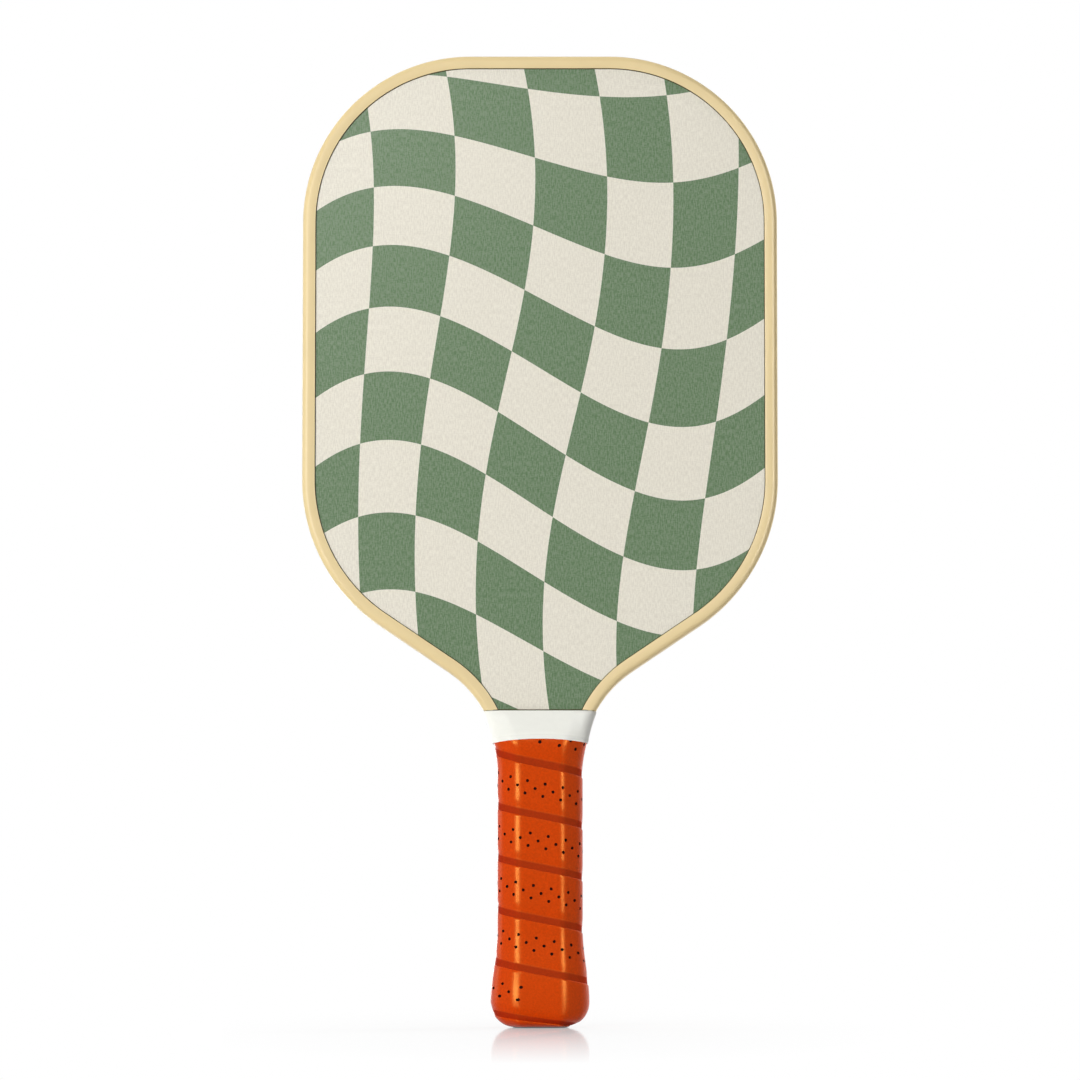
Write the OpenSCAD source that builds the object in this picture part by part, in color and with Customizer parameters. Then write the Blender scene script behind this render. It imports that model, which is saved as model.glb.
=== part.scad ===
// Pickleball paddle: laminated honeycomb head with an edge guard, and a wound eight-sided handle.
// Millimetres. +Z runs from the butt end to the top of the head, +X to the right, and -Y is the front.
// The origin is the centre of the flat butt end, so the paddle stands on it.

/* [Head] */
// Overall length, from the butt end to the top of the head
overall_length = 406; // [390:1:430]
// Width of the head over the edge guard
head_w = 198.5; // [185:0.5:210]
// Radius of the two top corners, over the guard
corner_r = 70; // [55:1:80]
// Radius of the two lower corners, over the guard
shoulder_r = 73; // [60:1:80]
// Slope of the straight edges between shoulder and neck, in degrees from level
shoulder_slope = 34; // [28:1:40]
// Radius of the hollow curve from the head into the handle, over the guard
neck_r = 48; // [36:1:54]

/* [Panel] */
// Thickness of the honeycomb core
core_t = 13; // [10:0.5:16]
// Width of one honeycomb cell across its flats
cell_w = 8; // [6:0.5:12]
// Thickness of the walls between cells
cell_wall = 0.6; // [0.4:0.1:1.2]
// Thickness of each adhesive film
film_t = 0.1; // [0.05:0.05:0.3]
// Thickness of each face sheet
face_t = 0.5; // [0.3:0.1:1.2]

/* [Edge guard] */
// Thickness of the guard on the rim of the panel
guard_wall = 1.2; // [0.8:0.1:2]
// Width of the lips, from the outside of the guard to their tips
guard_lip_w = 5.2; // [4:0.1:9]
// Thickness of the lips on the face sheets
guard_lip_t = 1; // [0.6:0.1:1.6]
// Radius of the outer edges of the guard
guard_round = 2.4; // [1:0.1:4]
// Bevel at the tips of the lips
guard_tip = 0.4; // [0.2:0.1:0.6]
// Bond line between the guard and the rim of the panel
glue_gap = 0.15; // [0.1:0.05:0.3]

/* [Handle] */
// Length of the grip, from the butt end to the lower edge of the collar
grip_length = 118; // [105:1:140]
// Distance below the collar at which the neck starts to widen
neck_run = 10; // [4:1:20]
// Width of the tongue of the panel inside the handle
tongue_w = 32; // [28:0.5:36]
// Height of each pallet above the face sheet
pallet_h = 5.2; // [4:0.1:7]
// Height of the upright sides of each pallet, next to the face sheet
pallet_side_h = 0.6; // [0.5:0.1:1.5]
// Width of the flat front of each pallet
pallet_flat_w = 18; // [14:0.5:22]
// Height of each pallet at its end under the collar
pallet_end_h = 1.6; // [1:0.1:3]
// Bevel on the eight edges of the handle
handle_bevel = 0.5; // [0.2:0.1:1]

/* [Butt cap] */
// Height of the cap, butt end to its thin rim
cap_h = 34; // [26:1:40]
// Thickness of the solid end of the cap
cap_floor = 9; // [8:0.5:11]
// Height at which the cap is widest
knob_z = 11; // [9:0.5:14]
// How far the widest part stands out from the handle
knob_out = 1.8; // [1.4:0.1:3]
// How far the flat butt end is drawn in from the handle
butt_in = 6.2; // [5.5:0.1:7]
// Thickness of the rim of the cap
cap_rim = 0.5; // [0.4:0.1:1]

/* [Grip tape] */
// Thickness of the tape
tape_t = 1.6; // [1.2:0.1:2.4]
// Thickness of the tape at its skived edges
tape_edge_t = 0.9; // [0.6:0.1:1.1]
// Width of the skived edges
tape_skive = 1.6; // [1:0.1:3]
// Height that the tape climbs in one turn
tape_pitch = 21.4; // [16:0.2:28]
// Seam between one turn and the next
seam_gap = 0.6; // [0.5:0.1:1]
// Height of the lowest edge of the tape above the butt end
tape_start = 0.8; // [0.5:0.1:2]
// Width of the tape at its two cut ends
tape_end_w = 2; // [1.5:0.5:4]
// Slack of the tape over the widest part of the cap
knob_gap = 1.1; // [1:0.1:1.6]
// Clearance between layers on the handle
fit_gap = 0.15; // [0.1:0.05:0.3]

/* [Collar] */
// Height of the rubber collar
collar_h = 13; // [9:0.5:18]
// Thickness of the rubber collar
collar_t = 1.4; // [1:0.1:2.5]
// Rounding of the edges of the collar
collar_round = 0.4; // [0.2:0.1:0.5]
// Thickness of the finishing tape under the collar
finish_t = 0.2; // [0.1:0.05:0.3]
// Width of the finishing tape
finish_w = 10; // [6:0.5:12]

/* [Hidden] */

// Depths of the layers of the panel, from its middle plane
core_y = core_t / 2;
film_y = core_y + film_t;
face_y = film_y + face_t;

// Heights along the handle
neck_z = grip_length - neck_run;
collar_z = grip_length + fit_gap;
collar_top = collar_z + collar_h;
tongue_z = cap_floor + fit_gap;
guard_z = collar_top + fit_gap;
pallet_top = collar_top - fit_gap;

// Centres of the tangent arcs of the outline, as [x, z]; every inset outline shares them
tongue_hw = tongue_w / 2;
panel_inset = guard_wall + glue_gap;
lean = 90 - shoulder_slope;
neck_c = [tongue_hw + panel_inset + neck_r, neck_z];
shoulder_x = head_w / 2 - shoulder_r;
shoulder_rise = (shoulder_r + neck_r - (neck_c.x - shoulder_x) * cos(lean)) / sin(lean);
shoulder_c = [shoulder_x, neck_z + shoulder_rise];
corner_c = [head_w / 2 - corner_r, overall_length - corner_r];

// Steps in each arc of the outline
neck_steps = 12;
shoulder_steps = 12;
corner_steps = 18;
round_steps = 4;

function arc(centre, r, from, to, steps) =
    [for (i = [0 : steps]) let (a = from + (to - from) * i / steps) centre + r * [cos(a), sin(a)]];

function mirrored(points) = [for (i = [len(points) - 1 : -1 : 0]) [-points[i].x, points[i].y]];

// Right edge of the outline at an inset, from the neck to the top; start is an angle on the neck's arc
function right_edge(inset, start) = concat(
    arc(neck_c, neck_r + inset, start, 180 - lean, neck_steps),
    arc(shoulder_c, shoulder_r - inset, -lean, 0, shoulder_steps),
    arc(corner_c, corner_r - inset, 0, 90, corner_steps));

function panel_right() = concat([[tongue_hw, tongue_z]], right_edge(panel_inset, 180));

// Half-width of an inset outline at height z, and nothing outside the panel
function half_width(z, inset) =
    let (low = shoulder_c.y - (shoulder_r - inset) * sin(lean),
         high = neck_z + (neck_r + inset) * sin(lean))
    z > overall_length - inset || z < tongue_z + inset - panel_inset ? -1 :
    z > corner_c.y ? corner_c.x + sqrt(pow(corner_r - inset, 2) - pow(z - corner_c.y, 2)) :
    z > shoulder_c.y ? head_w / 2 - inset :
    z > low ? shoulder_c.x + sqrt(pow(shoulder_r - inset, 2) - pow(z - shoulder_c.y, 2)) :
    z > high ? shoulder_c.x + (shoulder_r - inset + (z - shoulder_c.y) * sin(lean)) / cos(lean) :
    neck_half_width(z, inset);

function neck_half_width(z, inset) =
    neck_c.x - (z > neck_z ? sqrt(pow(neck_r + inset, 2) - pow(z - neck_z, 2)) : neck_r + inset);

// Whole cells of a hexagonal grid that fit inside the panel
cell_pitch = cell_w + cell_wall;
cell_r = cell_w / sqrt(3);
cell_row = cell_pitch * sin(60);
cell_inset = panel_inset + cell_wall;
cell_columns = ceil(head_w / 2 / cell_pitch);
cell_rows = ceil(overall_length / cell_row);

function cell_fits(c) = len([for (a = [30 : 60 : 330])
    if (abs(c.x + cell_r * cos(a)) > half_width(c.y + cell_r * sin(a), cell_inset)) a]) == 0;

cells = [for (row = [0 : cell_rows], column = [-cell_columns : cell_columns])
    let (c = [(column + (row % 2) / 2) * cell_pitch, row * cell_row])
    if (cell_fits(c)) c];

// Corners of the bare handle at height z, clockwise from above, starting at the front right
function pallet_share(z) =
    z <= collar_z ? 1 : (pallet_h + (pallet_end_h - pallet_h) * (z - collar_z) / collar_h) / pallet_h;

function handle_corners(z) =
    let (hw = neck_half_width(z, panel_inset), fw = pallet_flat_w / 2 + hw - tongue_hw,
         hd = face_y + pallet_h * pallet_share(z), sd = face_y + pallet_side_h * pallet_share(z))
    [[fw, -hd], [-fw, -hd], [-hw, -sd], [-hw, sd], [-fw, hd], [fw, hd], [hw, sd], [hw, -sd]];

function unit(v) = v / norm(v);
function left_of(v) = [-v.y, v.x];

// The corners moved out by a distance, with the edges kept parallel
function grown_corners(z, out) =
    let (c = handle_corners(z), n = [for (i = [0 : 7]) left_of(unit(c[(i + 1) % 8] - c[i]))])
    [for (i = [0 : 7]) let (m = n[(i + 7) % 8]) c[i] + out * (n[i] + m) / (1 + n[i] * m)];

// Ring of 24 points round the handle: each corner is bevelled, and each side has its middle
section_sides = 24;
bevel_share = 0.8;
bevel = min(handle_bevel, bevel_share * pallet_side_h);
function section(z, out) =
    let (c = grown_corners(z, out), b = bevel * pallet_share(z))
    [for (i = [0 : 7], p = [c[i] + b * unit(c[(i + 1) % 8] - c[i]),
                            (c[i] + c[(i + 1) % 8]) / 2,
                            c[(i + 1) % 8] + b * unit(c[i] - c[(i + 1) % 8])]) p];

// The same ring without the middles of its sides
function edge_ring(z, out) =
    let (ring = section(z, out))
    [for (k = [0 : section_sides - 1]) if (k % 3 != 1) ring[k]];

function at_height(p, z) = [p.x, p.y, z];

// How far the inside of the tape stands out from the bare handle, over the cap and its knob
cap_fade = 3;
knob_r = knob_z;
rim_out = cap_rim + fit_gap;
crest_out = knob_out + knob_gap;
function tape_out(z) =
    z >= cap_h + cap_fade ? fit_gap :
    z >= cap_h ? fit_gap + (rim_out - fit_gap) * (cap_h + cap_fade - z) / cap_fade :
    z >= knob_z ? rim_out + (crest_out - rim_out) * (cap_h - z) / (cap_h - knob_z) :
    crest_out - knob_r + sqrt(pow(knob_r, 2) - pow(knob_z - z, 2));

// Faces of a tube of rings of points: closed by the polygons that cap one ring, or joined end to end
function tube_faces(rings, sides, caps) = concat(
    [for (r = [0 : rings - (len(caps) == 0 ? 1 : 2)], s = [0 : sides - 1])
        let (a = r * sides, b = ((r + 1) % rings) * sides, t = (s + 1) % sides)
        each [[a + s, b + t, b + s], [a + s, a + t, b + t]]],
    [for (cap = caps) [for (i = [len(cap) - 1 : -1 : 0]) cap[i]]],
    [for (cap = caps) [for (i = cap) (rings - 1) * sides + i]]);

// Solid that stacks the same number of points at each height
module stack(layers) {
    sides = len(layers[0]);
    polyhedron([for (layer = layers, p = layer) p],
               tube_faces(len(layers), sides, [[for (s = [0 : sides - 1]) s]]));
}

// Band round the handle with a profile of [height, distance out]
module band(profile) {
    rings = [for (p = profile) section(p[0], p[1])];
    points = [for (k = [0 : section_sides - 1], j = [0 : len(profile) - 1])
        at_height(rings[j][k], profile[j][0])];
    polyhedron(points, tube_faces(section_sides, len(profile), []));
}

// Flat layer of the panel between two depths
module layer(from_y, to_y) {
    right = panel_right();
    translate([0, to_y, 0]) rotate([90, 0, 0]) linear_extrude(to_y - from_y) {
        difference() {
            polygon(concat(right, mirrored(right)));
            children();
        }
    }
}

module honeycomb_core() {
    color("#E9EAE6") layer(-core_y, core_y)
        for (c = cells) translate(c) rotate(30) circle(cell_r, $fn = 6);
}

module front_bond_film() {
    color("#D8CFA8") layer(-film_y, -core_y);
}

module rear_bond_film() {
    color("#D8CFA8") layer(core_y, film_y);
}

module front_face() {
    color("#75896D") layer(-face_y, -film_y);
}

module rear_face() {
    color("#75896D") layer(film_y, face_y);
}

// U-channel swept along the outline; its profile is [inset from the outside, depth]
guard_y = face_y + guard_lip_t;
guard_edge = [for (i = [0 : round_steps]) let (a = 90 * i / round_steps)
    [guard_round * (1 - sin(a)), guard_y - guard_round * (1 - cos(a))]];
guard_side = concat([[guard_lip_w, face_y], [guard_lip_w, guard_y - guard_tip],
                     [guard_lip_w - guard_tip, guard_y]], guard_edge);
guard_profile = concat(
    guard_side,
    [for (i = [len(guard_side) - 1 : -1 : 0]) [guard_side[i].x, -guard_side[i].y]],
    [[guard_wall, -face_y], [guard_wall, face_y]]);

// The cut ends of the guard, as triangles that meet in the two inner corners of the channel
guard_half = len(guard_side);
inner_rear = 2 * guard_half + 1;
inner_front = 2 * guard_half;
guard_caps = concat(
    [for (i = [0 : guard_half - 1]) [inner_rear, i, i + 1]],
    [[inner_rear, guard_half, inner_front]],
    [for (i = [guard_half : inner_front - 2]) [inner_front, i, i + 1]]);

module edge_guard() {
    edges = [for (p = guard_profile)
        let (right = right_edge(p.x, 180 - asin((guard_z - neck_z) / (neck_r + p.x))))
        concat(right, mirrored(right))];
    count = len(edges[0]);
    sides = len(guard_profile);
    points = [for (i = [0 : count - 1], j = [0 : sides - 1])
        [edges[j][i].x, guard_profile[j].y, edges[j][i].y]];
    color("#E6D2A0") polyhedron(points, tube_faces(count, sides, guard_caps));
}

// One shaped half of the handle, glued to the front face sheet, with the ring's points that it takes
pallet_steps = 6;
front_edges = [20, 21, 23, 0, 2, 3, 5, 6];
module handle_pallet() {
    heights = concat([tongue_z], [for (i = [0 : pallet_steps]) neck_z + neck_run * i / pallet_steps],
                     [for (i = [0 : pallet_steps]) collar_z + (pallet_top - collar_z) * i / pallet_steps]);
    stack([for (z = heights)
        let (ring = section(z, 0), hw = neck_half_width(z, panel_inset),
             outline = concat([[hw, -face_y]], [for (k = front_edges) ring[k]], [[-hw, -face_y]]))
        [for (p = outline) at_height(p, z)]]);
}

module front_handle_pallet() {
    color("#C9B48A") handle_pallet();
}

module rear_handle_pallet() {
    color("#C9B48A") mirror([0, 1, 0]) handle_pallet();
}

module butt_cap() {
    outside = [[0, -butt_in], [knob_z, knob_out], [cap_h, cap_rim]];
    color("#2B2A29") difference() {
        stack([for (p = outside) [for (q = edge_ring(p[0], p[1])) at_height(q, p[0])]]);
        translate([0, 0, cap_floor]) linear_extrude(cap_h) polygon(edge_ring(cap_floor, fit_gap));
    }
}

// Share of the way round the handle at each point of its ring, so that the turns climb evenly
girth_ring = section(neck_z, fit_gap + tape_t);
girth_steps = [for (k = [0 : section_sides - 1]) norm(girth_ring[(k + 1) % section_sides] - girth_ring[k])];
function total(v, n) = n <= 0 ? 0 : v[n - 1] + total(v, n - 1);
girth = total(girth_steps, section_sides);
function climb(i) =
    tape_pitch * (floor(i / section_sides) + total(girth_steps, i % section_sides) / girth);

// Lower and upper edge of the tape; both ends are cut so that they lie level
function tape_low(i) = max(tape_start, tape_start + climb(i) - tape_pitch + seam_gap);
function tape_high(i) = min(grip_length, tape_start + climb(i));
tape_rings = [for (i = [0 : section_sides * ceil((grip_length + tape_pitch) / tape_pitch)])
    if (tape_high(i) - tape_low(i) >= tape_end_w) i];

// Profile of the tape as [height, distance out]: up its inside and down its outside, edges skived
function tape_profile(i) =
    let (low = tape_low(i), high = tape_high(i), skive = min(tape_skive, (high - low) / 3),
         levels = [low, low + skive, (low + high) / 2, high - skive, high],
         thick = [tape_edge_t, tape_t, tape_t, tape_t, tape_edge_t])
    concat([for (j = [0 : 4]) [levels[j], tape_out(levels[j])]],
           [for (j = [4 : -1 : 0]) [levels[j], tape_out(levels[j]) + thick[j]]]);

function tape_ring(i) = [for (p = tape_profile(i)) at_height(section(p[0], p[1])[i % section_sides], p[0])];
tape_points = [for (i = tape_rings) tape_ring(i)];

// Least gap between the upper edge of each turn and the lower edge of the next, on their points
tape_gaps = [for (i = [0 : len(tape_rings) - 1 - section_sides], u = [4, 5], l = [0, 9])
    norm(tape_points[i][u] - tape_points[i + section_sides][l])];
echo(least_gap_between_turns = min(tape_gaps));

module grip_tape() {
    color("#D04A08") stack(tape_points);
}

finish_out = fit_gap + finish_t;
module finishing_tape() {
    heights = [for (i = [0 : pallet_steps]) collar_z + finish_w * i / pallet_steps];
    color("#E4DCC4") band(concat([for (z = heights) [z, fit_gap]],
        [for (i = [pallet_steps : -1 : 0]) [heights[i], finish_out]]));
}

collar_in = finish_out + fit_gap;
module grip_collar() {
    heights = [for (i = [0 : pallet_steps]) collar_z + collar_h * i / pallet_steps];
    outer = collar_in + collar_t;
    color("#F7F6EF") band(concat([for (z = heights) [z, collar_in]],
        [[collar_top, outer - collar_round], [collar_top - collar_round, outer]],
        [for (i = [pallet_steps - 1 : -1 : 1]) [heights[i], outer]],
        [[collar_z + collar_round, outer], [collar_z, outer - collar_round]]));
}

honeycomb_core();
front_bond_film();
rear_bond_film();
front_face();
rear_face();
edge_guard();
front_handle_pallet();
rear_handle_pallet();
butt_cap();
grip_tape();
finishing_tape();
grip_collar();
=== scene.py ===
"""Dresses the frame of a pickleball paddle: printed faces, edge guard, wound grip, collar and butt cap.

All sizes are in metres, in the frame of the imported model: +Z runs up the handle to the top of the head,
+X to the right, and -Y is the front. The origin is the middle of the butt end.
"""
import math

import bmesh
import bpy
from bpy.props import FloatProperty, FloatVectorProperty, PointerProperty
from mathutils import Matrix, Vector


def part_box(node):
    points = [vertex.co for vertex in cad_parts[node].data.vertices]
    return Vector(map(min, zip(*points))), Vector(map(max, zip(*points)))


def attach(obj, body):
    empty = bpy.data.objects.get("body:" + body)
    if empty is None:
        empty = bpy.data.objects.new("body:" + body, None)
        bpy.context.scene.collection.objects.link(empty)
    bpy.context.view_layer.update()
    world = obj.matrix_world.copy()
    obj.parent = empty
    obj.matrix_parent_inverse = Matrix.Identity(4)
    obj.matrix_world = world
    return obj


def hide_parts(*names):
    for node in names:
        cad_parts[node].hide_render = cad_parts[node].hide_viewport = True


bl_info = {
    "name": "Pickleball paddle",
    "version": (1, 0, 0),
    "blender": (4, 5, 0),
    "location": "View3D > Sidebar > Paddle",
    "description": "Models the outside of a pickleball paddle on its frame, with a stage to look at it",
    "category": "Object",
}

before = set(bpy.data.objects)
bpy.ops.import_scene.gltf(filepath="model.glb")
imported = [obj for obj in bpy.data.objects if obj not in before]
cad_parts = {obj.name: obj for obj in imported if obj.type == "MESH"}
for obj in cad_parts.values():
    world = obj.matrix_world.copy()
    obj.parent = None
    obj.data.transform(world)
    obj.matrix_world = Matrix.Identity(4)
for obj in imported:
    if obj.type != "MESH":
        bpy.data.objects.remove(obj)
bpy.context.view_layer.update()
COLLAR_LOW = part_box("grip_collar")[0].z
COLLAR_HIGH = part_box("grip_collar")[1].z

# Points closer than this count as one place
NEAR = 1e-5
# Depth over which the grain of a material stands up
GRAIN_DEPTH = 0.0001


# Sizes and colours that a user may change


def linear(code):
    """The linear colour of an sRGB hex value."""
    parts = [int(code[i:i + 2], 16) / 255 for i in (1, 3, 5)]
    return tuple(p / 12.92 if p <= 0.04045 else ((p + 0.055) / 1.055) ** 2.4 for p in parts)


def size(name, description, default):
    """A property for a size in metres."""
    return FloatProperty(name=name, description=description, default=default, unit="LENGTH", precision=5)


def colour(name, description, code):
    """A property for a colour, from its sRGB hex value."""
    return FloatVectorProperty(name=name, description=description, default=linear(code), subtype="COLOR",
                               size=3, min=0, max=1)


class PaddleHead(bpy.types.PropertyGroup):
    """Outline of the head, section of its guard, and colours of both"""

    width: size("Width", "Width of the head over the guard", 0.1985)
    corner_radius: size("Corner radius", "Radius of the two top corners", 0.070)
    shoulder_radius: size("Shoulder radius", "Radius of the two lower corners", 0.073)
    shoulder_slope: FloatProperty(
        name="Shoulder slope", description="Slope of the edges between shoulder and neck, from level",
        default=math.radians(34), subtype="ANGLE")
    neck_radius: size("Neck radius", "Radius of the hollow curve into the handle", 0.048)
    neck_half: size("Neck half-width", "Half-width over the guard where the neck starts", 0.01735)
    neck_height: size("Neck height", "Height at which the neck starts to widen", 0.108)
    guard_wall: size("Guard wall", "Thickness of the guard on the rim", 0.0012)
    guard_lip: size("Guard lip", "Width of the guard's lips on the faces", 0.0056)
    guard_round: size("Guard rounding", "Radius of the outer edges of the guard", 0.0024)
    guard_tip: size("Guard tip", "Thickness of the lips at their tips", 0.0007)
    guard_tip_round: size("Guard tip rounding", "Radius of the tips of the lips", 0.0005)
    sage: colour("Sage", "Green squares of the printed check", "#57744E")
    pale_sage: colour("Pale sage", "Threads that show through the green", "#768A6E")
    white: colour("White", "White squares of the printed check", "#EFEADB")
    grey_white: colour("Grey white", "Threads that show through the white", "#E1DBCC")
    guard_cream: colour("Guard cream", "Plastic of the guard", "#E6CF9A")


class PaddleHandle(bpy.types.PropertyGroup):
    """Section of the handle, the tape wound on it, its collar and its cap"""

    half_width: size("Half-width", "Half-width of the bare handle", 0.016)
    half_flat: size("Half-flat", "Half-width of its front and rear flats", 0.009)
    depth: size("Depth", "Depth of the flats from the middle plane", 0.0123)
    side_depth: size("Side depth", "Half-height of its upright sides", 0.0077)
    edge_inset: size("Edge inset", "Depth of the rounded edges' centres inside the bare handle", 0.005)
    collar_inset: size("Collar inset", "The same for the softer edges of the collar", 0.005)
    least_round: size("Least rounding", "Least radius of the rounded edges", 0.003)
    tape_out: size("Tape", "How far the tape stands out from the bare handle", 0.00175)
    tape_flare: size("Tape flare", "How much further it stands out under the collar", 0.0007)
    knob_out: size("Knob", "How far the tape stands out at the knob", 0.0045)
    knob_height: size("Knob height", "Height of the widest part of the knob", 0.0105)
    knob_round: size("Knob rounding", "Radius of the knob towards the butt end", 0.0103)
    butt_round: size("Butt rounding", "Smaller radius of the butt end at the front and back", 0.005)
    flare_height: size("Flare height", "Height at which the flare of the knob starts", 0.040)
    tape_pitch: size("Tape pitch", "Height that the tape climbs in one turn", 0.0214)
    tape_width: size("Tape width", "Width of the tape that a turn shows", 0.021)
    tape_tuck: size("Tape tuck", "Width of the margin under the turn below", 0.0024)
    tape_margin: size("Tape margin", "Width of the thin pressed margin at each seam", 0.0027)
    tape_slope: size("Tape slope", "Width of the slope above the pressed margin", 0.0033)
    tape_step: size("Tape step", "Depth of the pressed margin", 0.0004)
    tape_drift: size("Tape drift", "How much more the tape climbs in its last turn", 0.002)
    plain_start: size("Plain start", "Length along the tape at which its holes start", 0.118)
    hole_period: size("Hole period", "Distance from hole to hole along the tape", 0.0075)
    hole_radius: size("Hole radius", "Radius of the punched holes", 0.00072)
    orange: colour("Orange", "Leather of the tape", "#CC3A00")
    dark_orange: colour("Dark orange", "Pressed margins of the tape", "#A01B00")
    # Painted shade: the dark brown inside the punched holes
    hole_brown: colour("Hole brown", "Inside of the punched holes", "#2A0905")
    collar_arch: size("Collar arch", "How much higher the collar's lower edge is in the middle", 0.0011)
    collar_dip: size("Collar dip", "How much lower the collar's lower edge is at the sides", 0.0013)
    collar_white: colour("Collar white", "Rubber of the collar", "#F3F3ED")
    cap_black: colour("Cap black", "Plastic of the butt cap", "#201F1E")


class PaddleStage(bpy.types.PropertyGroup):
    """Camera, floor and light"""

    distance: size("Distance", "Distance of the camera from the paddle", 1.9)
    eye_height: size("Eye height", "Height of the camera above the floor", 0.05)
    view_height: size("View height", "Height of the picture at the paddle", 0.4512)
    view_middle: size("View middle", "Height of the middle of the picture", 0.2028)
    shift: FloatProperty(name="Shift", description="Upward shift of the picture", default=0.05)
    floor_white: colour("Floor white", "Pale floor", "#F4F4F4")


# Small tools for meshes and nodes


def clear_selection():
    """Leaves edit mode and deselects everything, so that the next operator meets only its own piece."""
    if bpy.context.mode != "OBJECT":
        bpy.ops.object.mode_set(mode="OBJECT")
    bpy.ops.object.select_all(action="DESELECT")


def pick(kind, test):
    """Selects only the VERT, EDGE or FACE items of the piece in edit mode that pass a test."""
    bpy.ops.mesh.select_mode(type=kind)
    bpy.ops.mesh.select_all(action="DESELECT")
    form = bmesh.from_edit_mesh(bpy.context.edit_object.data)
    for item in {"VERT": form.verts, "EDGE": form.edges, "FACE": form.faces}[kind]:
        if test(item):
            item.select_set(True)
    form.select_flush_mode()
    bmesh.update_edit_mesh(bpy.context.edit_object.data)


def cut(point, normal, **options):
    """Bisects the whole piece in edit mode with a plane."""
    bpy.ops.mesh.select_all(action="SELECT")
    bpy.ops.mesh.bisect(plane_co=point, plane_no=normal, threshold=1e-7, **options)


def apply_modifier(piece, kind, **settings):
    """Puts a modifier on the active piece and applies it."""
    modifier = piece.modifiers.new(kind, kind)
    for name, value in settings.items():
        setattr(modifier, name, value)
    bpy.ops.object.modifier_apply(modifier=modifier.name)


def close_up(angle):
    """Merges doubles, turns the faces outwards and shades the piece in edit mode smooth up to an angle."""
    bpy.ops.mesh.select_mode(type="VERT")
    bpy.ops.mesh.select_all(action="SELECT")
    bpy.ops.mesh.remove_doubles(threshold=2e-6)
    bpy.ops.mesh.normals_make_consistent(inside=False)
    bpy.ops.object.mode_set(mode="OBJECT")
    bpy.ops.object.shade_smooth_by_angle(angle=math.radians(angle))


def hand_over(piece, node, slot, *materials):
    """Gives a finished piece its materials and its place in the frame."""
    for material in materials:
        piece.data.materials.append(material)
    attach(piece, "root")
    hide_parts(node)


def add(tree, kind, sockets=None, **settings):
    """Adds a node with its settings, and sets or links its input sockets."""
    made = tree.nodes.new(kind)
    for name, value in settings.items():
        setattr(made, name, value)
    for key, value in (sockets or {}).items():
        if isinstance(value, bpy.types.NodeSocket):
            tree.links.new(value, made.inputs[key])
        else:
            made.inputs[key].default_value = value
    return made


def start_material(name):
    """A new material with an empty node tree and its surface coordinates."""
    material = bpy.data.materials.new(name)
    material.use_nodes = True
    material.node_tree.nodes.clear()
    return material, material.node_tree, add(material.node_tree, "ShaderNodeTexCoord")


def spaced(millimetres):
    """Scale of a texture whose pattern repeats about every so many millimetres."""
    return 1000 / millimetres


def looking(tree):
    """A socket that is 1 for rays that show the background, and 0 for those that only light the paddle."""
    rays = add(tree, "ShaderNodeLightPath")
    seen = add(tree, "ShaderNodeMath", {0: rays.outputs["Is Camera Ray"], 1: rays.outputs["Is Glossy Ray"]},
               operation="MAXIMUM")
    seen = add(tree, "ShaderNodeMath", {0: seen.outputs[0], 1: rays.outputs["Is Transmission Ray"]},
               operation="MAXIMUM")
    return seen.outputs[0]


def dress(nodes, material):
    """Puts a material on CAD nodes."""
    for name in nodes:
        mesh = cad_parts[name].data
        mesh.materials.clear()
        mesh.materials.append(material)


# The eight-sided handle, as a surface that tape, collar and cap follow


def bare_corners(handle, head, z):
    """Corners of the bare handle at a height, clockwise from above, starting at the front left."""
    half_width = handle.half_width
    if z > head.neck_height:
        reach = head.neck_half + head.neck_radius
        inner = reach - handle.half_width
        half_width = reach - math.sqrt(inner ** 2 - (z - head.neck_height) ** 2)
    half_flat = handle.half_flat + half_width - handle.half_width
    # Under the collar the handle runs out into the head, which is thinner
    front_taper = 0.0036
    side_taper = 0.0004
    taper = min(max((z - COLLAR_LOW) / (COLLAR_HIGH - COLLAR_LOW), 0), 1)
    depth = handle.depth - front_taper * taper
    side = handle.side_depth - side_taper * taper
    left = [(-half_flat, -depth), (-half_width, -side), (-half_width, side), (-half_flat, depth)]
    return [Vector(c) for c in left] + [Vector((-x, y)) for x, y in reversed(left)]


def outward(start, end):
    """Outward normal of an edge of the handle that runs clockwise."""
    run = (end - start).normalized()
    return Vector((-run.y, run.x))


def grown(corners, out):
    """Corners of the same shape with its edges moved outwards."""
    normals = [outward(corners[i - 1], corners[i]) for i in range(8)]
    moved = []
    for i in range(8):
        first, second = normals[i], normals[(i + 1) % 8]
        moved.append(corners[i] + (first + second) * (out / (1 + first.dot(second))))
    return moved


def girth_table(handle, head):
    """Start, flat length and rounded length of each side of the plain grip, and its girth."""
    radius = handle.tape_out + handle.edge_inset
    corners = grown(bare_corners(handle, head, head.neck_height), -handle.edge_inset)
    table = []
    total = 0
    for i in range(8):
        flat = (corners[i] - corners[i - 1]).length
        turn = outward(corners[i - 1], corners[i]).angle(outward(corners[i], corners[(i + 1) % 8]))
        table.append((total, flat, radius * turn))
        total += flat + radius * turn
    return table, total


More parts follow.
